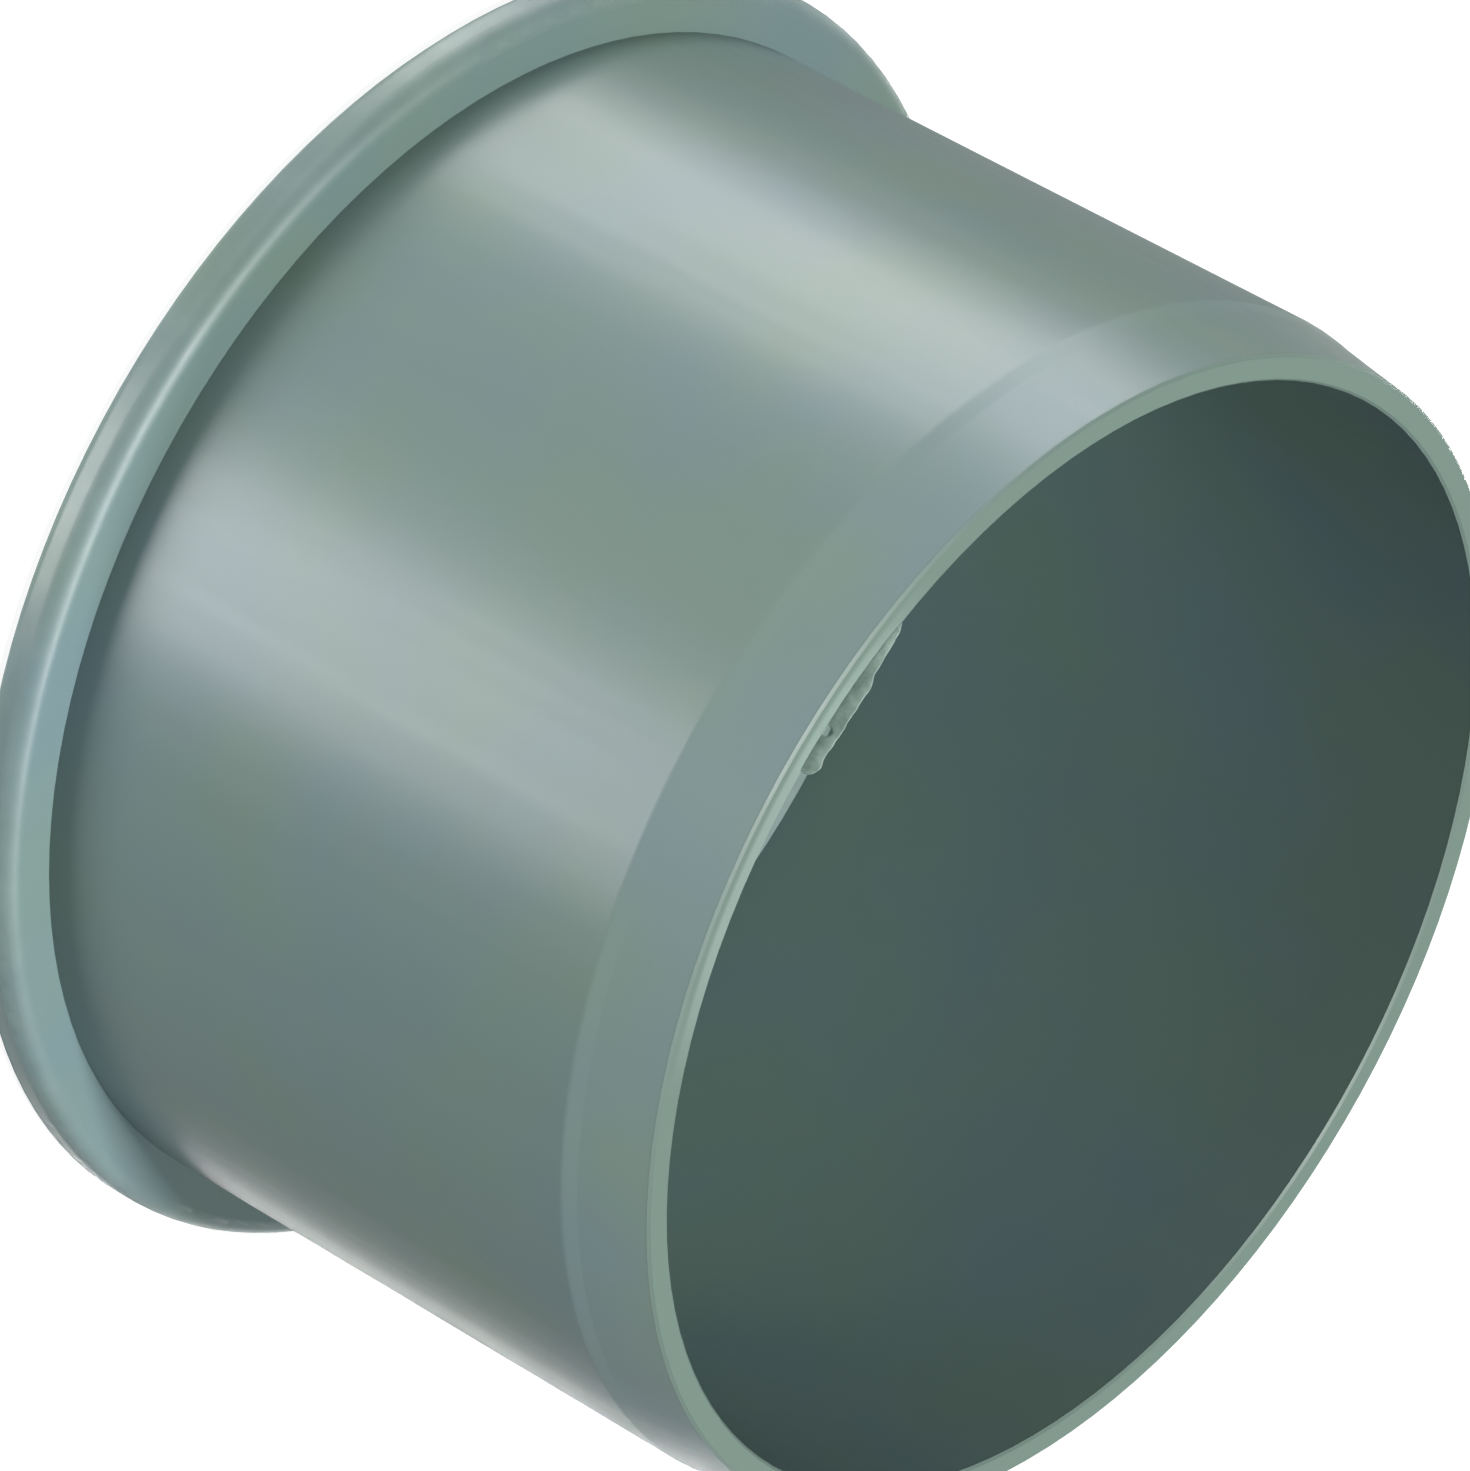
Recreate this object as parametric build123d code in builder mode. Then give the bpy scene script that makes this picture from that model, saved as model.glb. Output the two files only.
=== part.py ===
"""A push-in pipe plug: a thin-walled spigot, open at the mouth and closed at its flanged end.

Millimetres. The plug stands on its closed end: the axis is Z, the mouth is up and the origin is
the centre of the face that it stands on.
"""

import os
from math import radians, tan

from build123d import *

# Spigot, the straight tube that slides into a pipe socket
SPIGOT_DIAMETER = 50.0
SPIGOT_LENGTH = 31.0  # from the flange's seat to the mouth
WALL = 1.7  # at the mouth, measured to the straight outside
BORE_DRAFT = 0.5  # degrees by which the bore narrows towards the closed end

# Lead-in, the shallow taper round the mouth
LEAD_IN_LENGTH = 3.9
LEAD_IN_DEPTH = 0.63
LEAD_IN_START_LENGTH = 0.7  # the taper begins with a narrow, steeper stretch
LEAD_IN_START_DEPTH = 0.14
LEAD_IN_BLEND = 1.0  # radius of the soft turn from straight spigot to taper
RIM_BREAK = 0.1  # bevel on both edges of the flat rim

# Flange, the collar that stops against the end of the socket
FLANGE_STEP = 2.25  # height of the collar above the spigot
FLANGE_THICKNESS = 2.0
FLANGE_SEAT_ROUND = 0.8  # edge between the seat and the collar's outside
FLANGE_BACK_BEVEL = 0.4  # edge between the collar's outside and the closed end

# Closed end
END_WALL = 2.0
END_RECESS = 0.5  # how far the end wall lies inside the ring that the plug stands on
STANDING_RING = 3.8  # from the collar's outside to the recess
RECESS_BREAK = 0.2  # bevel on the edge of the recess
FLOOR_BEVEL = 1.0  # inside corner between bore and end wall

# Gate mark, the stub left where the plastic entered the mould
GATE_DIAMETER = 3.0
GATE_CLEARANCE = 0.2  # keeps the stub off the surface that the plug stands on
GATE_DRAFT = 20.0  # degrees

# The largest share of a wall or face that the round or bevel on one of its edges may take
EDGE_SHARE = 0.49

# Radii
spigot_radius = SPIGOT_DIAMETER / 2
mouth_radius = spigot_radius - LEAD_IN_DEPTH
bore_mouth_radius = spigot_radius - WALL
flange_radius = spigot_radius + FLANGE_STEP
recess_radius = flange_radius - STANDING_RING

# Heights above the face that the plug stands on
mouth_height = FLANGE_THICKNESS + SPIGOT_LENGTH
lead_in_height = mouth_height - LEAD_IN_LENGTH
lead_in_turn_height = lead_in_height + LEAD_IN_START_LENGTH
floor_height = END_RECESS + END_WALL

# The bore's radius where it meets the end wall
bore_depth = mouth_height - floor_height
bore_floor_radius = bore_mouth_radius - bore_depth * tan(radians(BORE_DRAFT))

# Rounds and bevels, each kept within the wall or face that carries it
rim_width = mouth_radius - bore_mouth_radius
rim_break = min(RIM_BREAK, EDGE_SHARE * rim_width)
flange_seat_round = min(FLANGE_SEAT_ROUND, EDGE_SHARE * min(FLANGE_THICKNESS, FLANGE_STEP))
flange_back_bevel = min(FLANGE_BACK_BEVEL, EDGE_SHARE * min(FLANGE_THICKNESS, STANDING_RING))
recess_break = min(RECESS_BREAK, EDGE_SHARE * min(END_RECESS, STANDING_RING))

# Corners of the half section, as (radius, height), from the recess round the outside to the bore
recess_centre = (0, END_RECESS)
recess_corner = (recess_radius, END_RECESS)
recess_edge = (recess_radius, 0)
flange_back = (flange_radius, 0)
flange_seat = (flange_radius, FLANGE_THICKNESS)
spigot_root = (spigot_radius, FLANGE_THICKNESS)
lead_in_start = (spigot_radius, lead_in_height)
lead_in_turn = (spigot_radius - LEAD_IN_START_DEPTH, lead_in_turn_height)
rim_outside = (mouth_radius, mouth_height)
rim_inside = (bore_mouth_radius, mouth_height)
floor_corner = (bore_floor_radius, floor_height)
floor_centre = (0, floor_height)

# The corners that are rounded and those that are bevelled; the foot of the spigot is moulded sharp
rounded_corners = {
    flange_seat: flange_seat_round,
    lead_in_start: LEAD_IN_BLEND,
}
bevelled_corners = {
    recess_edge: recess_break,
    flange_back: flange_back_bevel,
    rim_outside: rim_break,
    rim_inside: rim_break,
    floor_corner: FLOOR_BEVEL,
}

with BuildPart() as pipe_plug:
    # Flange, spigot and end wall are one moulding, turned from one section.
    with BuildSketch(Plane.XZ) as section:
        with BuildLine():
            Polyline(
                recess_centre,
                recess_corner,
                recess_edge,
                flange_back,
                flange_seat,
                spigot_root,
                lead_in_start,
                lead_in_turn,
                rim_outside,
                rim_inside,
                floor_corner,
                floor_centre,
                close=True,
            )
        make_face()
        for corner, radius in rounded_corners.items():
            fillet(section.vertices().sort_by_distance(corner)[0], radius)
        for corner, width in bevelled_corners.items():
            chamfer(section.vertices().sort_by_distance(corner)[0], width)
    revolve(axis=Axis.Z)

    # The gate stub hangs from the middle of the recess.
    with BuildSketch(Plane.XY.offset(END_RECESS)):
        Circle(GATE_DIAMETER / 2)
    extrude(amount=GATE_CLEARANCE - END_RECESS, taper=GATE_DRAFT)

pipe_plug.part.label = "pipe_plug"

os.makedirs("parts", exist_ok=True)
export_step(pipe_plug.part, "parts/pipe_plug.step")
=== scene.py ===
import math

import bmesh
import bpy
from bpy.props import FloatProperty, FloatVectorProperty, PointerProperty
from mathutils import Matrix, Vector


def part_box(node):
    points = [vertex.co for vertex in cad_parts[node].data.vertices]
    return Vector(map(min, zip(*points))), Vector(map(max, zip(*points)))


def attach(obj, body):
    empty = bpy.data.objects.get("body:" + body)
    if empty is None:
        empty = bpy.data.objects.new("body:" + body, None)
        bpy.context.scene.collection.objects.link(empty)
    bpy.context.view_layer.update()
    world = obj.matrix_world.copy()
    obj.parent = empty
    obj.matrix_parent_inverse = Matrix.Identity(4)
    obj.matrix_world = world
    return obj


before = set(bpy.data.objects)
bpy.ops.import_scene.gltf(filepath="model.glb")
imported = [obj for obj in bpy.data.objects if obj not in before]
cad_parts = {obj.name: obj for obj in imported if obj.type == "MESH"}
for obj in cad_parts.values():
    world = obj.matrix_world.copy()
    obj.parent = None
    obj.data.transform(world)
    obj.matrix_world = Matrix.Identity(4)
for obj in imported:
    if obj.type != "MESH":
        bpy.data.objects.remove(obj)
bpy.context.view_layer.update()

bl_info = {
    "name": "Pipe plug",
    "version": (1, 0, 0),
    "blender": (4, 5, 0),
    "location": "View3D > Sidebar > Pipe plug",
    "description": "Finishes and stages a moulded polypropylene pipe plug",
    "category": "Object",
}

MM = 0.001
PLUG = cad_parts["pipe_plug"]
PLUG_LOW, PLUG_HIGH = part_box("pipe_plug")
PLUG_MIDDLE = (PLUG_LOW + PLUG_HIGH) / 2
RIM_HEIGHT = PLUG_HIGH.z
FLANGE_RADIUS = PLUG_HIGH.x
# Sizes of the plug that its box doesn't give
FLANGE_THICKNESS = 2.0 * MM
RIM_MIDDLE_RADIUS = 23.9 * MM

# Rubbed outer edge of the collar: how far in it reaches and from where it is worn all over, the size of
# the rubbing and how pale it gets
COLLAR_RUB_REACH = 0.8 * MM
COLLAR_RUB_FULL = 0.3 * MM
RUB_SIZE = 3.0 * MM
RUB_PALENESS = 0.2

# Heights on the collar between which its front and its standing edge turn duller
FRONT_EDGE_START = 0.5 * FLANGE_THICKNESS
FRONT_EDGE_FULL = 0.7 * FLANGE_THICKNESS
STANDING_EDGE_FULL = 0.2 * FLANGE_THICKNESS
STANDING_EDGE_END = 0.3 * FLANGE_THICKNESS

# Rim top: the depth of the band that is painted a shade darker, as painted shade, and made duller; and the
# stretch of it that carries a painted highlight, which fades out on both sides and towards the rim's outer
# part
RIM_TOP_DEPTH = 0.25 * MM
RIM_HIGHLIGHT_FULL_ANGLE = math.radians(8.0)
RIM_HIGHLIGHT_HALF_ANGLE = math.radians(28.0)
RIM_HIGHLIGHT_FULL_RADIUS = RIM_MIDDLE_RADIUS - 0.1 * MM
RIM_HIGHLIGHT_OUTER_RADIUS = RIM_MIDDLE_RADIUS + 0.2 * MM
PAINTED_RIM_HIGHLIGHT = 0.43

# Blush round the gate
BLUSH_INNER_RADIUS = 1.2 * MM
BLUSH_OUTER_RADIUS = 6.0 * MM
BLUSH_PALENESS = 0.3

# Surface left by the mould: its relief, the share of grain in it, the scale of the draw lines along the
# axis as a share of that across it, and how far the roughness strays
MOULD_RELIEF = 0.01 * MM
GRAIN_SHARE = 0.4
DRAW_STRETCH = 0.04
GLOSS_SPREAD = 0.03

# Roughness that the worn places add
FRONT_EDGE_DULLNESS = 0.18
STANDING_EDGE_DULLNESS = 0.35
RIM_DULLNESS = 0.12

# A little above polypropylene's own 1.49, for highlights as strong as the plug's
PLASTIC_IOR = 1.55

# The torn skin of flash: its streaks, their relief, and how far light spreads inside it
STREAK_SIZE = 0.5 * MM
STREAK_RELIEF = 0.02 * MM
LIGHT_SPREAD = 0.3 * MM

# Table: the gap under the plug, the part round it that reflections see dark, the strength of its glow
# and the share of that glow that the collar's back edge sees close by
TABLE_GAP = 0.02 * MM
DARK_TABLE_RADIUS = 80.0 * MM
OPEN_TABLE_RADIUS = 160.0 * MM
TABLE_GLOW = 0.9
COLLAR_GLOW = 0.4
COLLAR_GLOW_FULL = 0.4 * MM
COLLAR_GLOW_REACH = 1.2 * MM

# Share of the room's white that reflections see
ROOM_MIRRORED = 0.25

# Softboxes: azimuth and elevation in degrees, then distance, width and height in metres. The strips
# and panels stand under the table and shine up through its top.
LONG_STRIP = (-83.0, -25.0, 0.40, 0.21, 0.23)
SHORT_STRIP = (15.5, -45.0, 0.40, 0.20, 0.22)
BACK_STRIP = (167.0, -34.0, 0.40, 0.28, 0.25)
FRONT_PANEL = (-24.0, -30.0, 1.00, 1.90, 1.40)
BACK_PANEL = (180.0, -12.0, 1.00, 1.60, 0.50)
OVERHEAD = (-20.5, 77.0, 1.20, 0.08, 0.08)
SIDE_OVERHEAD = (105.0, 74.0, 1.20, 0.13, 0.13)


def linear(hex_colour):
    """Turns an sRGB hex colour into linear red, green and blue."""
    channels = [int(hex_colour[i:i + 2], 16) / 255 for i in (1, 3, 5)]
    return tuple(c / 12.92 if c <= 0.04045 else ((c + 0.055) / 1.055) ** 2.4 for c in channels)


def per_metre(size):
    """Gives the texture scale whose features are about this size, in metres."""
    return 1.0 / size


def around(azimuth, elevation):
    """Unit direction from the plug; azimuth 0 is the side of the camera and elevation is upwards."""
    flat = math.cos(elevation)
    return Vector((math.sin(azimuth) * flat, -math.cos(azimuth) * flat, math.sin(elevation)))


class PlugFinishSettings(bpy.types.PropertyGroup):
    """Colours and grain of the moulded plastic."""

    pigment: FloatVectorProperty(
        name="Pigment", description="Main grey-green of the plastic",
        subtype="COLOR", size=3, min=0.0, max=1.0, default=linear("#6D837A"))
    pigment_cool: FloatVectorProperty(
        name="Cool pigment", description="Bluer grey where the pigment is mixed less evenly",
        subtype="COLOR", size=3, min=0.0, max=1.0, default=linear("#6A8084"))
    # Painted shade on the rim's top, darker than the walls
    cut: FloatVectorProperty(
        name="Cut", description="Darker grey-green of the cut rim",
        subtype="COLOR", size=3, min=0.0, max=1.0, default=linear("#62766D"))
    # Also the colour of the painted highlight on a stretch of the rim
    scuffed_and_highlight: FloatVectorProperty(
        name="Scuffed", description="Paler grey of rubbed or trimmed edges and of the gate blush",
        subtype="COLOR", size=3, min=0.0, max=1.0, default=linear("#93A59E"))
    torn: FloatVectorProperty(
        name="Torn", description="Stretched plastic of the thin flash on the rim",
        subtype="COLOR", size=3, min=0.0, max=1.0, default=linear("#8FA59B"))
    # Middle of the painted highlight on the rim, round the axis
    trimmed: FloatProperty(
        name="Trimmed", description="Where the rim was trimmed of flash, round the axis",
        subtype="ANGLE", default=math.radians(4.0))
    mottle: FloatProperty(
        name="Mottle", description="Width of the patches of unevenly mixed pigment",
        unit="LENGTH", default=9.0 * MM, min=0.5 * MM)
    draw_line: FloatProperty(
        name="Draw lines", description="Spacing of the faint lines left by drawing the plug from its mould",
        unit="LENGTH", default=0.9 * MM, min=0.05 * MM)
    grain: FloatProperty(
        name="Grain", description="Width of the grain of the mould's steel",
        unit="LENGTH", default=0.35 * MM, min=0.05 * MM)
    gloss: FloatProperty(
        name="Roughness", description="Roughness of the satin surface",
        subtype="FACTOR", default=0.33, min=0.05, max=1.0)


class FlashSettings(bpy.types.PropertyGroup):
    """Size and place of the thin moulding flash on the rim."""

    start: FloatProperty(
        name="Start", description="Where the flash begins round the rim",
        subtype="ANGLE", default=math.radians(-17.5))
    end: FloatProperty(
        name="End", description="Where the flash ends round the rim",
        subtype="ANGLE", default=math.radians(-1.1))
    radius: FloatProperty(
        name="Radius", description="Distance of the flash from the plug's axis",
        unit="LENGTH", default=23.44 * MM, min=1.0 * MM)
    height: FloatProperty(
        name="Height", description="Height of the flash above the rim",
        unit="LENGTH", default=0.64 * MM, min=0.05 * MM)
    root: FloatProperty(
        name="Root", description="Depth to which the flash is rooted in the rim",
        unit="LENGTH", default=0.15 * MM, min=0.0)
    thickness: FloatProperty(
        name="Thickness", description="Thickness of the flash",
        unit="LENGTH", default=0.13 * MM, min=0.02 * MM)


class StageSettings(bpy.types.PropertyGroup):
    """Table, lamps and camera."""

    table_radius: FloatProperty(
        name="Table", description="Radius of the round table top",
        unit="LENGTH", default=3.0, min=0.1)
    table_colour: FloatVectorProperty(
        name="Table colour", description="Colour of the opal table top",
        subtype="COLOR", size=3, min=0.0, max=1.0, default=linear("#7D7F7E"))
    fill: FloatProperty(
        name="Fill", description="Strength of the even light of the room",
        default=0.04, min=0.0)
    long_strip_power: FloatProperty(
        name="Long strip", description="Power of the strip that gives the brighter band",
        unit="POWER", default=0.78, min=0.0)
    short_strip_power: FloatProperty(
        name="Short strip", description="Power of the strip that gives the softer band",
        unit="POWER", default=1.06, min=0.0)
    back_strip_power: FloatProperty(
        name="Back strip", description="Power of the strip behind the plug that lights its outline",
        unit="POWER", default=0.28, min=0.0)
    front_panel_power: FloatProperty(
        name="Front panel", description="Power of the wide weak panel on the camera's side",
        unit="POWER", default=4.3, min=0.0)
    back_panel_power: FloatProperty(
        name="Back panel", description="Power of the wide weak panel behind the plug",
        unit="POWER", default=5.0, min=0.0)
    overhead_power: FloatProperty(
        name="Overhead", description="Power of the softbox above the mouth",
        unit="POWER", default=16.5, min=0.0)
    side_overhead_power: FloatProperty(
        name="Side overhead", description="Power of the weaker softbox above the far side",
        unit="POWER", default=7.2, min=0.0)
    camera_distance: FloatProperty(
        name="Distance", description="From the camera to the point that it looks at",
        unit="LENGTH", default=0.4855, min=0.1)
    camera_elevation: FloatProperty(
        name="Elevation", description="Height of the camera above the table, as an angle",
        subtype="ANGLE", default=math.radians(33.086))
    camera_roll: FloatProperty(
        name="Roll", description="Turn of the camera about its own line of sight",
        subtype="ANGLE", default=math.radians(118.9375))
    camera_aim: FloatVectorProperty(
        name="Aim", description="Point that the camera looks at",
        subtype="TRANSLATION", size=3, default=(-0.446 * MM, 5.704 * MM, 10.75 * MM))
    lens: FloatProperty(
        name="Lens", description="Focal length on a 36 mm sensor",
        unit="CAMERA", default=299.69, min=10.0)


def add_node(tree, kind, settings=None, inputs=None):
    """Adds one node; a value in inputs is either a constant or the output that feeds that socket."""
    node = tree.nodes.new(kind)
    for name, value in (settings or {}).items():
        setattr(node, name, value)
    for socket, value in (inputs or {}).items():
        if isinstance(value, bpy.types.NodeSocket):
            tree.links.new(value, node.inputs[socket])
        else:
            node.inputs[socket].default_value = value
    return node


def empty_material(name):
    """A material with nothing but its output node."""
    material = bpy.data.materials.new(name)
    material.use_nodes = True
    tree = material.node_tree
    tree.nodes.clear()
    output = tree.nodes.new("ShaderNodeOutputMaterial")
    return material, tree, output


def moulded_polypropylene(finish):
    """Polypropylene with a grey-green pigment, injection moulded in a finely ground steel mould.

    The eye gets an even satin body colour with a faint cool mottle, soft wide highlights that
    break up slightly along the draw, edges that are rubbed a little paler, a duller rim top that is
    painted a shade darker, as painted shade, and a painted highlight on one stretch of the rim.
    """
    material, tree, output = empty_material("moulded_polypropylene")
    place = add_node(tree, "ShaderNodeTexCoord").outputs["Object"]

    # Unevenly mixed pigment, in patches
    patches = add_node(tree, "ShaderNodeTexNoise", None, {
        "Vector": place, "Scale": per_metre(finish.mottle), "Detail": 2.0, "Roughness": 0.5})
    cool = add_node(tree, "ShaderNodeMapRange", None, {
        "Value": patches.outputs[0], "From Min": 0.35, "From Max": 0.7, "To Min": 0.0, "To Max": 1.0})
    body = add_node(tree, "ShaderNodeMix", {"data_type": "RGBA"}, {
        0: cool.outputs[0], 6: (*finish.pigment, 1.0), 7: (*finish.pigment_cool, 1.0)})

    # Distance from the axis and height, for the marks and the painted light and shade that follow the shape
    flat = add_node(tree, "ShaderNodeVectorMath", {"operation": "MULTIPLY"}, {
        0: place, 1: (1.0, 1.0, 0.0)})
    radius = add_node(tree, "ShaderNodeVectorMath", {"operation": "LENGTH"}, {0: flat.outputs[0]})
    height = add_node(tree, "ShaderNodeSeparateXYZ", None, {0: place})

    # The collar's outer edge is rubbed paler in places
    collar_edge = add_node(tree, "ShaderNodeMapRange", {"interpolation_type": "SMOOTHSTEP"}, {
        "Value": radius.outputs["Value"], "From Min": FLANGE_RADIUS - COLLAR_RUB_REACH,
        "From Max": FLANGE_RADIUS - COLLAR_RUB_FULL, "To Min": 0.0, "To Max": 1.0})
    rubbing = add_node(tree, "ShaderNodeTexNoise", None, {
        "Vector": place, "Scale": per_metre(RUB_SIZE), "Detail": 4.0, "Roughness": 0.6})
    rubbed = add_node(tree, "ShaderNodeMapRange", None, {
        "Value": rubbing.outputs[0], "From Min": 0.4, "From Max": 0.75,
        "To Min": 0.0, "To Max": RUB_PALENESS})
    scuffs = add_node(tree, "ShaderNodeMath", {"operation": "MULTIPLY"}, {
        0: collar_edge.outputs[0], 1: rubbed.outputs[0]})

    # Painted highlight: a stretch of the rim's inner part is painted pale round the given angle
    rim_edge = add_node(tree, "ShaderNodeMapRange", {"interpolation_type": "SMOOTHSTEP"}, {
        "Value": height.outputs["Z"], "From Min": RIM_HEIGHT - RIM_TOP_DEPTH,
        "From Max": RIM_HEIGHT, "To Min": 0.0, "To Max": 1.0})
    inner_rim = add_node(tree, "ShaderNodeMapRange", {"interpolation_type": "SMOOTHSTEP"}, {
        "Value": radius.outputs["Value"], "From Min": RIM_HIGHLIGHT_FULL_RADIUS,
        "From Max": RIM_HIGHLIGHT_OUTER_RADIUS, "To Min": rim_edge.outputs[0], "To Max": 0.0})
    heading = add_node(tree, "ShaderNodeVectorMath", {"operation": "NORMALIZE"}, {0: flat.outputs[0]})
    facing = add_node(tree, "ShaderNodeVectorMath", {"operation": "DOT_PRODUCT"}, {
        0: heading.outputs[0], 1: around(finish.trimmed, 0.0)})
    stretch = add_node(tree, "ShaderNodeMapRange", {"interpolation_type": "SMOOTHSTEP"}, {
        "Value": facing.outputs["Value"], "From Min": math.cos(RIM_HIGHLIGHT_HALF_ANGLE),
        "From Max": math.cos(RIM_HIGHLIGHT_FULL_ANGLE), "To Min": 0.0, "To Max": PAINTED_RIM_HIGHLIGHT})
    # Painted highlight on the rim's inner part
    trimmed = add_node(tree, "ShaderNodeMath", {"operation": "MULTIPLY"}, {
        0: inner_rim.outputs[0], 1: stretch.outputs[0]})
    # Real rubbing together with the painted highlight on the rim
    wear_and_highlight = add_node(tree, "ShaderNodeMath", {"operation": "MAXIMUM"}, {
        0: scuffs.outputs[0], 1: trimmed.outputs[0]})

    # Blush round the gate, where the plastic entered the mould
    blush = add_node(tree, "ShaderNodeMapRange", {"interpolation_type": "SMOOTHSTEP"}, {
        "Value": radius.outputs["Value"], "From Min": BLUSH_INNER_RADIUS,
        "From Max": BLUSH_OUTER_RADIUS, "To Min": BLUSH_PALENESS, "To Max": 0.0})
    pale = add_node(tree, "ShaderNodeMath", {"operation": "MAXIMUM"}, {
        0: wear_and_highlight.outputs[0], 1: blush.outputs[0]})

    # Painted shade: the rim's top is painted a shade darker than the walls
    walls = add_node(tree, "ShaderNodeMix", {"data_type": "RGBA"}, {
        0: rim_edge.outputs[0], 6: body.outputs[2], 7: (*finish.cut, 1.0)})
    colour = add_node(tree, "ShaderNodeMix", {"data_type": "RGBA"}, {
        0: pale.outputs[0], 6: walls.outputs[2], 7: (*finish.scuffed_and_highlight, 1.0)})

    # Draw lines run along the axis, so the pattern is stretched that way
    stretched = add_node(tree, "ShaderNodeMapping", None, {
        "Vector": place, "Scale": (1.0, 1.0, DRAW_STRETCH)})
    drawn = add_node(tree, "ShaderNodeTexNoise", None, {
        "Vector": stretched.outputs[0], "Scale": per_metre(finish.draw_line),
        "Detail": 3.0, "Roughness": 0.55})
    # The steel's grain is about 0.05 mm wide; it is drawn coarser so that it shows
    grain = add_node(tree, "ShaderNodeTexNoise", None, {
        "Vector": place, "Scale": per_metre(finish.grain), "Detail": 2.0, "Roughness": 0.6})
    relief = add_node(tree, "ShaderNodeMix", {"data_type": "FLOAT"}, {
        0: GRAIN_SHARE, 2: drawn.outputs[0], 3: grain.outputs[0]})
    surface = add_node(tree, "ShaderNodeBump", None, {
        "Strength": 0.25, "Distance": MOULD_RELIEF, "Height": relief.outputs[0]})
    satin = add_node(tree, "ShaderNodeMapRange", None, {
        "Value": drawn.outputs[0], "From Min": 0.3, "From Max": 0.7,
        "To Min": finish.gloss - GLOSS_SPREAD, "To Max": finish.gloss + GLOSS_SPREAD})
    # The collar's rubbed edges are duller, front and standing edge alike, and so is the rim's top
    front = add_node(tree, "ShaderNodeMapRange", {"interpolation_type": "SMOOTHSTEP"}, {
        "Value": height.outputs["Z"], "From Min": PLUG_LOW.z + FRONT_EDGE_START,
        "From Max": PLUG_LOW.z + FRONT_EDGE_FULL, "To Min": 0.0, "To Max": FRONT_EDGE_DULLNESS})
    standing = add_node(tree, "ShaderNodeMapRange", {"interpolation_type": "SMOOTHSTEP"}, {
        "Value": height.outputs["Z"], "From Min": PLUG_LOW.z + STANDING_EDGE_FULL,
        "From Max": PLUG_LOW.z + STANDING_EDGE_END, "To Min": STANDING_EDGE_DULLNESS, "To Max": 0.0})
    edges = add_node(tree, "ShaderNodeMath", {"operation": "MAXIMUM"}, {
        0: front.outputs[0], 1: standing.outputs[0]})
    rubbed_collar = add_node(tree, "ShaderNodeMath", {"operation": "MULTIPLY_ADD"}, {
        0: collar_edge.outputs[0], 1: edges.outputs[0], 2: satin.outputs[0]})
    dulled = add_node(tree, "ShaderNodeMath", {"operation": "MULTIPLY_ADD"}, {
        0: rim_edge.outputs[0], 1: RIM_DULLNESS, 2: rubbed_collar.outputs[0]})

    shader = add_node(tree, "ShaderNodeBsdfPrincipled", None, {
        "Base Color": colour.outputs[2], "Roughness": dulled.outputs[0], "IOR": PLASTIC_IOR,
        "Normal": surface.outputs[0]})
    tree.links.new(shader.outputs[0], output.inputs["Surface"])
    return material


def torn_polypropylene(finish):
    """The same polypropylene, squeezed thin and torn.

    The eye gets a duller skin, paler where it is stretched, that lets some light through.
    """
    material, tree, output = empty_material("torn_polypropylene")
    place = add_node(tree, "ShaderNodeTexCoord").outputs["Object"]
    streaks = add_node(tree, "ShaderNodeTexNoise", None, {
        "Vector": place, "Scale": per_metre(STREAK_SIZE), "Detail": 3.0, "Roughness": 0.6})
    stretched = add_node(tree, "ShaderNodeMapRange", None, {
        "Value": streaks.outputs[0], "From Min": 0.3, "From Max": 0.7, "To Min": 0.0, "To Max": 1.0})
    colour = add_node(tree, "ShaderNodeMix", {"data_type": "RGBA"}, {
        0: stretched.outputs[0], 6: (*finish.pigment, 1.0), 7: (*finish.torn, 1.0)})
    surface = add_node(tree, "ShaderNodeBump", None, {
        "Strength": 0.25, "Distance": STREAK_RELIEF, "Height": streaks.outputs[0]})
    shader = add_node(tree, "ShaderNodeBsdfPrincipled", None, {
        "Base Color": colour.outputs[2], "Roughness": 0.6, "IOR": PLASTIC_IOR,
        "Subsurface Weight": 0.8, "Subsurface Radius": (1.0, 1.0, 1.0),
        "Subsurface Scale": LIGHT_SPREAD, "Normal": surface.outputs[0]})
    tree.links.new(shader.outputs[0], output.inputs["Surface"])
    return material


def seen_directly(tree, mirrored_share):
    """One for what the camera sees straight, and the share for what it sees mirrored or through glass."""
    path = add_node(tree, "ShaderNodeLightPath")
    indirect = add_node(tree, "ShaderNodeMath", {"operation": "MAXIMUM"}, {
        0: path.outputs["Is Glossy Ray"], 1: path.outputs["Is Transmission Ray"]})
    share = add_node(tree, "ShaderNodeMath", {"operation": "MULTIPLY"}, {
        0: indirect.outputs[0], 1: mirrored_share})
    seen = add_node(tree, "ShaderNodeMath", {"operation": "MAXIMUM"}, {
        0: path.outputs["Is Camera Ray"], 1: share.outputs[0]})
    return seen.outputs[0]


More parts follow.
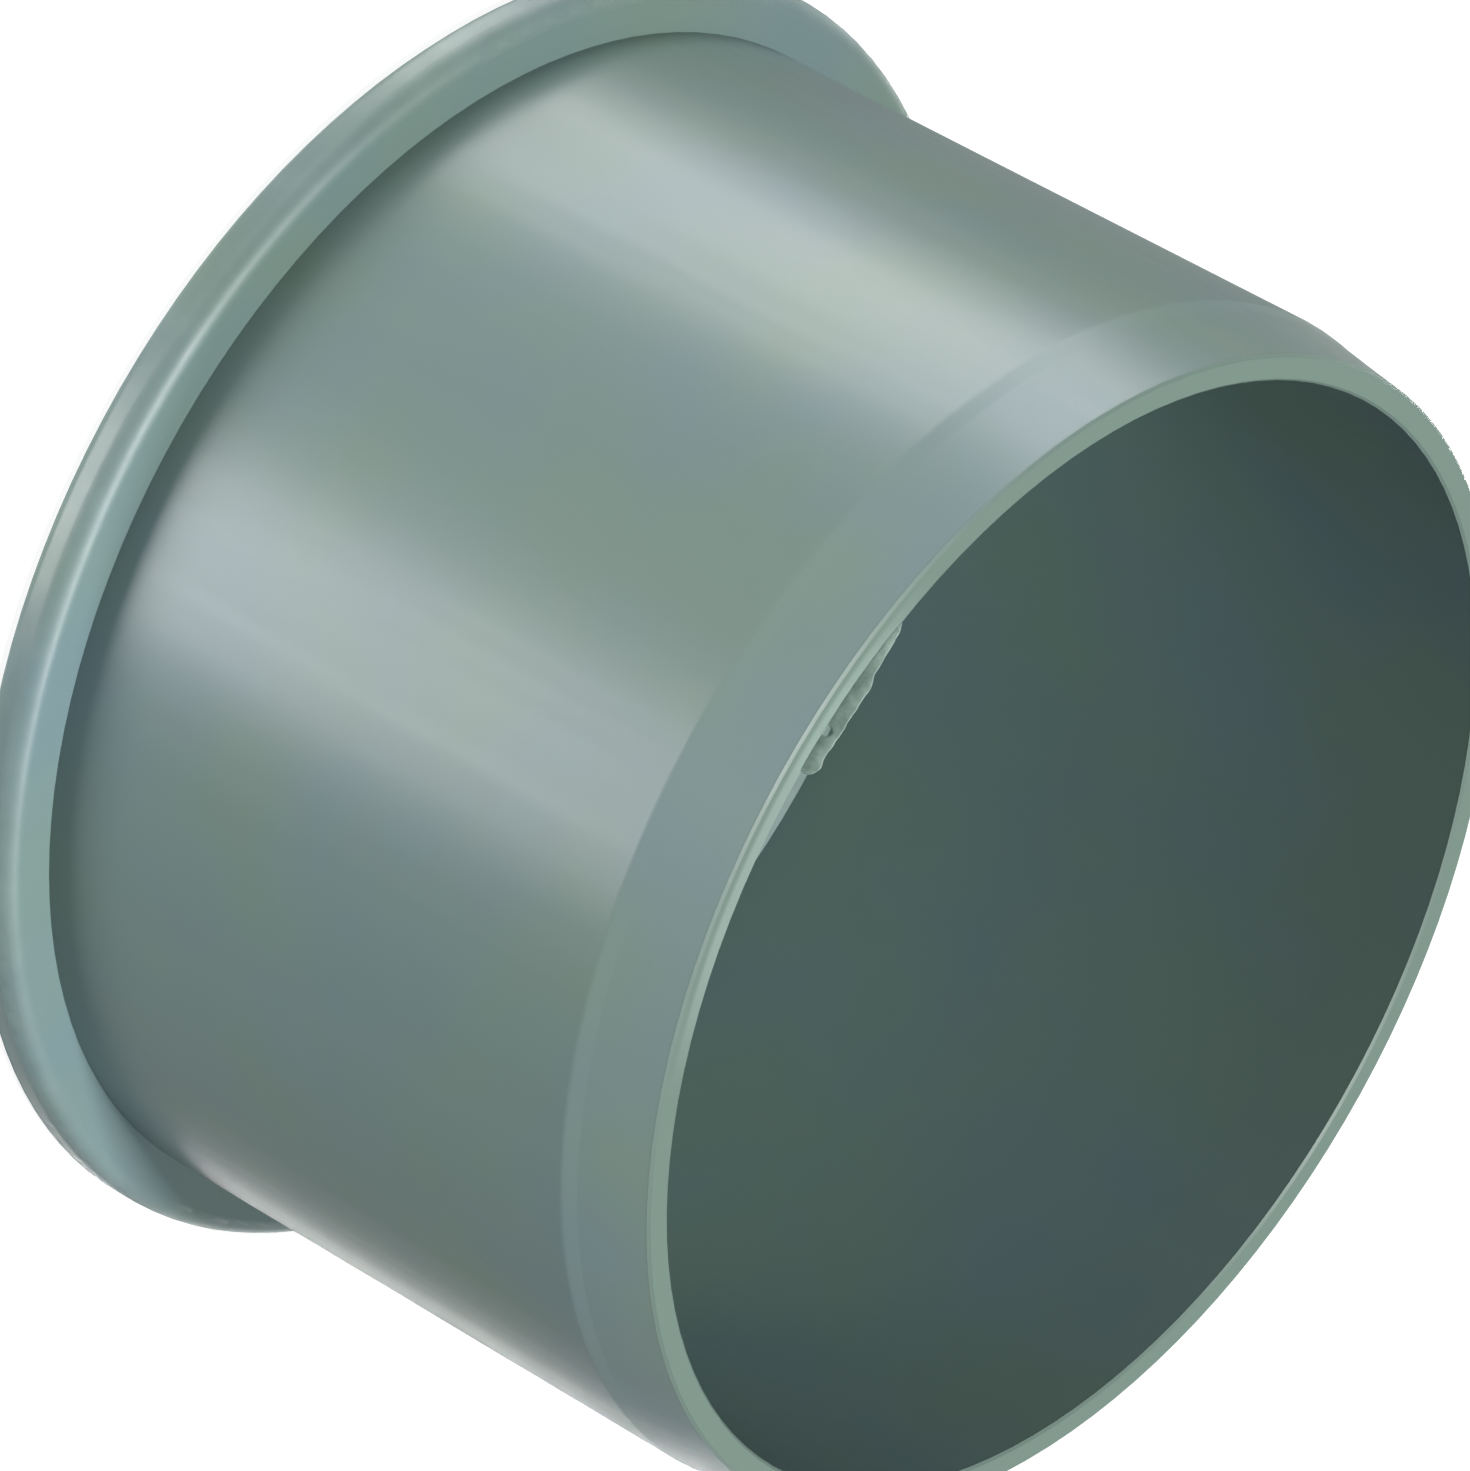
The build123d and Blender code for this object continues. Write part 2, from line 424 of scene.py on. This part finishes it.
def opal_acrylic(stage):
    """Cast opal acrylic sheet: a matt top that glows a soft white, with hardly a shadow on it."""
    material, tree, output = empty_material("opal_acrylic")
    matt = add_node(tree, "ShaderNodeBsdfDiffuse", None, {"Color": (*stage.table_colour, 1.0)})
    # The plug keeps the light off the table close round it, so reflections there stay dark,
    # but for the line of light right under the collar's back edge
    place = add_node(tree, "ShaderNodeTexCoord").outputs["Object"]
    distance = add_node(tree, "ShaderNodeVectorMath", {"operation": "LENGTH"}, {0: place})
    open_table = add_node(tree, "ShaderNodeMapRange", {"interpolation_type": "SMOOTHSTEP"}, {
        "Value": distance.outputs["Value"], "From Min": DARK_TABLE_RADIUS,
        "From Max": OPEN_TABLE_RADIUS})
    under_collar = add_node(tree, "ShaderNodeMapRange", {"interpolation_type": "SMOOTHSTEP"}, {
        "Value": distance.outputs["Value"], "From Min": FLANGE_RADIUS + COLLAR_GLOW_FULL,
        "From Max": FLANGE_RADIUS + COLLAR_GLOW_REACH, "To Min": COLLAR_GLOW, "To Max": 0.0})
    mirrored = add_node(tree, "ShaderNodeMath", {"operation": "MAXIMUM"}, {
        0: open_table.outputs[0], 1: under_collar.outputs[0]})
    seen = seen_directly(tree, mirrored.outputs[0])
    glow = add_node(tree, "ShaderNodeMath", {"operation": "MULTIPLY"}, {0: seen, 1: TABLE_GLOW})
    lit = add_node(tree, "ShaderNodeEmission", None, {"Strength": glow.outputs[0]})
    both = add_node(tree, "ShaderNodeAddShader", None, {0: matt.outputs[0], 1: lit.outputs[0]})
    # The sheet is clear from below, so that the plug's closed end can be looked at
    side = add_node(tree, "ShaderNodeNewGeometry").outputs["Backfacing"]
    clear = add_node(tree, "ShaderNodeBsdfTransparent")
    sheet = add_node(tree, "ShaderNodeMixShader", None, {
        0: side, 1: both.outputs[0], 2: clear.outputs[0]})
    tree.links.new(sheet.outputs[0], output.inputs["Surface"])
    return material


class PLUG_OT_finish(bpy.types.Operator):
    """Gives the moulded plug its polypropylene"""

    bl_idname = "plug.finish"
    bl_label = "Finish plug"

    def execute(self, context):
        PLUG.data.materials.clear()
        PLUG.data.materials.append(moulded_polypropylene(context.scene.plug_finish))
        return {"FINISHED"}


# Height of the flash along its length, as shares of its length and of its full height
FLASH_OUTLINE = (
    (0.00, 0.05), (0.06, 0.30), (0.18, 0.44), (0.31, 0.60), (0.41, 0.94), (0.55, 0.92),
    (0.66, 0.97), (0.78, 0.96), (0.85, 0.80), (0.93, 1.00), (0.98, 0.72), (1.00, 0.30),
)
# Faces of the skin along its length and up its height
FLASH_COLUMNS = 72
FLASH_ROWS = 8
# How far the flash leans over the bore, how far it waves, and how thin its torn edge is
FLASH_LEAN = 0.12 * MM
FLASH_WAVE = 0.018 * MM
FLASH_EDGE_SHARE = 0.25
# Ragged edge: share of the height, turn over the length in radians and its start
FLASH_RAGS = ((0.02, 47.0, 0.0), (0.012, 103.0, 1.3))
# Waves of the skin: share of the wave, turn over the length and turn over the height in radians
FLASH_WAVES = ((1.0, 19.0, 4.0), (0.8, 43.0, -3.0))
# Small tear in the flash: its middle and half size, as shares of length and height
TEAR = (0.735, 0.38, 0.035, 0.2)


def flash_height(share):
    """Height of the flash at a share of its length, as a share of its full height."""
    for (a, low), (b, high) in zip(FLASH_OUTLINE, FLASH_OUTLINE[1:]):
        if share <= b:
            step = (share - a) / (b - a)
            return low + (high - low) * step * step * (3 - 2 * step)
    return FLASH_OUTLINE[-1][1]


class PLUG_OT_flash(bpy.types.Operator):
    """Builds the thin skin of moulding flash that stands on the rim's inside edge"""

    bl_idname = "plug.flash"
    bl_label = "Add moulding flash"

    def execute(self, context):
        flash = context.scene.plug_flash
        mesh = bmesh.new()
        rows = []
        for column in range(FLASH_COLUMNS + 1):
            share = column / FLASH_COLUMNS
            azimuth = flash.start + (flash.end - flash.start) * share
            ragged = sum(rag * math.sin(turn * share + start) for rag, turn, start in FLASH_RAGS)
            top = flash.height * flash_height(share) * (1.0 + ragged)
            line = []
            for row in range(FLASH_ROWS + 1):
                up = row / FLASH_ROWS
                z = RIM_HEIGHT - flash.root + (top + flash.root) * up
                # The skin leans over the bore and waves a little
                wave = sum(part * math.sin(along * share + rise * up) for part, along, rise in FLASH_WAVES)
                lean = FLASH_LEAN * up * up + FLASH_WAVE * up * wave
                point = around(azimuth, 0.0) * (flash.radius - lean)
                line.append(mesh.verts.new(point + Vector((0, 0, z))))
            rows.append(line)
        for column in range(FLASH_COLUMNS):
            for row in range(FLASH_ROWS):
                along = ((column + 0.5) / FLASH_COLUMNS - TEAR[0]) / TEAR[2]
                across = ((row + 0.5) / FLASH_ROWS - TEAR[1]) / TEAR[3]
                if along * along + across * across < 1.0:
                    continue
                mesh.faces.new((rows[column][row], rows[column + 1][row],
                                rows[column + 1][row + 1], rows[column][row + 1]))
        data = bpy.data.meshes.new("moulding_flash")
        mesh.to_mesh(data)
        mesh.free()
        data.shade_smooth()
        piece = bpy.data.objects.new("moulding_flash", data)
        context.scene.collection.objects.link(piece)
        # The skin thins out from its root to its torn edge
        root = piece.vertex_groups.new(name="root")
        for index in range(len(data.vertices)):
            up = index % (FLASH_ROWS + 1) / FLASH_ROWS
            root.add([index], 1.0 - up, "REPLACE")
        skin = piece.modifiers.new("skin", "SOLIDIFY")
        skin.thickness = flash.thickness
        skin.offset = 0.0
        skin.vertex_group = root.name
        skin.thickness_vertex_group = FLASH_EDGE_SHARE
        soft = piece.modifiers.new("soft", "SUBSURF")
        soft.levels = 1
        soft.render_levels = 1
        data.materials.append(torn_polypropylene(context.scene.plug_finish))
        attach(piece, "root")
        return {"FINISHED"}


def add_softbox(scene, name, layout, power):
    """One rectangular softbox that faces the plug; the camera doesn't see it."""
    azimuth, elevation, distance, width, height = layout
    lamp = bpy.data.lights.new(name, "AREA")
    lamp.shape = "RECTANGLE"
    lamp.size = width
    lamp.size_y = height
    lamp.energy = power
    lamp.cycles.use_multiple_importance_sampling = False
    out = around(math.radians(azimuth), math.radians(elevation))
    softbox = bpy.data.objects.new(name, lamp)
    softbox.location = PLUG_MIDDLE + out * distance
    softbox.rotation_euler = out.to_track_quat("Z", "Y").to_euler()
    softbox.visible_camera = False
    scene.collection.objects.link(softbox)


class PLUG_OT_stage(bpy.types.Operator):
    """Sets up the table, the lamps, the room and the camera"""

    bl_idname = "plug.stage"
    bl_label = "Set the stage"

    def execute(self, context):
        scene = context.scene
        stage = scene.plug_stage
        self.table(scene, stage)
        add_softbox(scene, "long_strip", LONG_STRIP, stage.long_strip_power)
        add_softbox(scene, "short_strip", SHORT_STRIP, stage.short_strip_power)
        add_softbox(scene, "back_strip", BACK_STRIP, stage.back_strip_power)
        add_softbox(scene, "front_panel", FRONT_PANEL, stage.front_panel_power)
        add_softbox(scene, "back_panel", BACK_PANEL, stage.back_panel_power)
        add_softbox(scene, "overhead", OVERHEAD, stage.overhead_power)
        add_softbox(scene, "side_overhead", SIDE_OVERHEAD, stage.side_overhead_power)
        self.room(scene, stage)
        self.camera(scene, stage)
        scene.view_settings.view_transform = "Standard"
        return {"FINISHED"}

    def table(self, scene, stage):
        mesh = bmesh.new()
        bmesh.ops.create_circle(mesh, cap_ends=True, segments=96, radius=stage.table_radius)
        data = bpy.data.meshes.new("table")
        mesh.to_mesh(data)
        mesh.free()
        data.materials.append(opal_acrylic(stage))
        table = bpy.data.objects.new("table", data)
        # A hair's breadth under the plug, so that the two faces don't share one plane
        table.location.z = PLUG_LOW.z - TABLE_GAP
        table.visible_shadow = False
        scene.collection.objects.link(table)

    def room(self, scene, stage):
        world = bpy.data.worlds.new("room")
        world.use_nodes = True
        world.cycles.sampling_method = "NONE"
        tree = world.node_tree
        tree.nodes.clear()
        strength = add_node(tree, "ShaderNodeMapRange", None, {
            "Value": seen_directly(tree, ROOM_MIRRORED), "To Min": stage.fill, "To Max": 1.0})
        light = add_node(tree, "ShaderNodeBackground", None, {
            "Color": (1.0, 1.0, 1.0, 1.0), "Strength": strength.outputs[0]})
        add_node(tree, "ShaderNodeOutputWorld", None, {"Surface": light.outputs[0]})
        scene.world = world

    def camera(self, scene, stage):
        lens = bpy.data.cameras.new("camera")
        lens.sensor_width = 36.0
        lens.lens = stage.lens
        lens.clip_start = 0.01
        back = around(0.0, stage.camera_elevation)
        level = Vector((1.0, 0.0, 0.0))
        upright = back.cross(level)
        turn = Matrix.Rotation(stage.camera_roll, 3, back)
        across = turn @ level
        up = turn @ upright
        camera = bpy.data.objects.new("camera", lens)
        camera.matrix_world = Matrix.Translation(
            Vector(stage.camera_aim) + back * stage.camera_distance
        ) @ Matrix((across, up, back)).transposed().to_4x4()
        scene.collection.objects.link(camera)
        scene.camera = camera


class PLUG_PT_sidebar(bpy.types.Panel):
    """Finish, flash and stage of the pipe plug"""

    bl_idname = "PLUG_PT_sidebar"
    bl_label = "Pipe plug"
    bl_space_type = "VIEW_3D"
    bl_region_type = "UI"
    bl_category = "Pipe plug"

    def draw(self, context):
        scene = context.scene
        groups = (
            (scene.plug_finish, PLUG_OT_finish),
            (scene.plug_flash, PLUG_OT_flash),
            (scene.plug_stage, PLUG_OT_stage),
        )
        for settings, operator in groups:
            box = self.layout.box()
            for name in settings.__annotations__:
                box.prop(settings, name)
            box.operator(operator.bl_idname)


CLASSES = (
    PlugFinishSettings,
    FlashSettings,
    StageSettings,
    PLUG_OT_finish,
    PLUG_OT_flash,
    PLUG_OT_stage,
    PLUG_PT_sidebar,
)


def register():
    """Registers the classes and hangs the settings on the scene."""
    for each in CLASSES:
        bpy.utils.register_class(each)
    bpy.types.Scene.plug_finish = PointerProperty(type=PlugFinishSettings)
    bpy.types.Scene.plug_flash = PointerProperty(type=FlashSettings)
    bpy.types.Scene.plug_stage = PointerProperty(type=StageSettings)


def unregister():
    """Takes the settings off the scene and the classes out again."""
    del bpy.types.Scene.plug_stage
    del bpy.types.Scene.plug_flash
    del bpy.types.Scene.plug_finish
    for each in reversed(CLASSES):
        bpy.utils.unregister_class(each)


def main():
    """Builds the plug's looks and its stage."""
    register()
    bpy.ops.plug.finish()
    bpy.ops.plug.flash()
    bpy.ops.plug.stage()


if __name__ == "__main__":
    main()
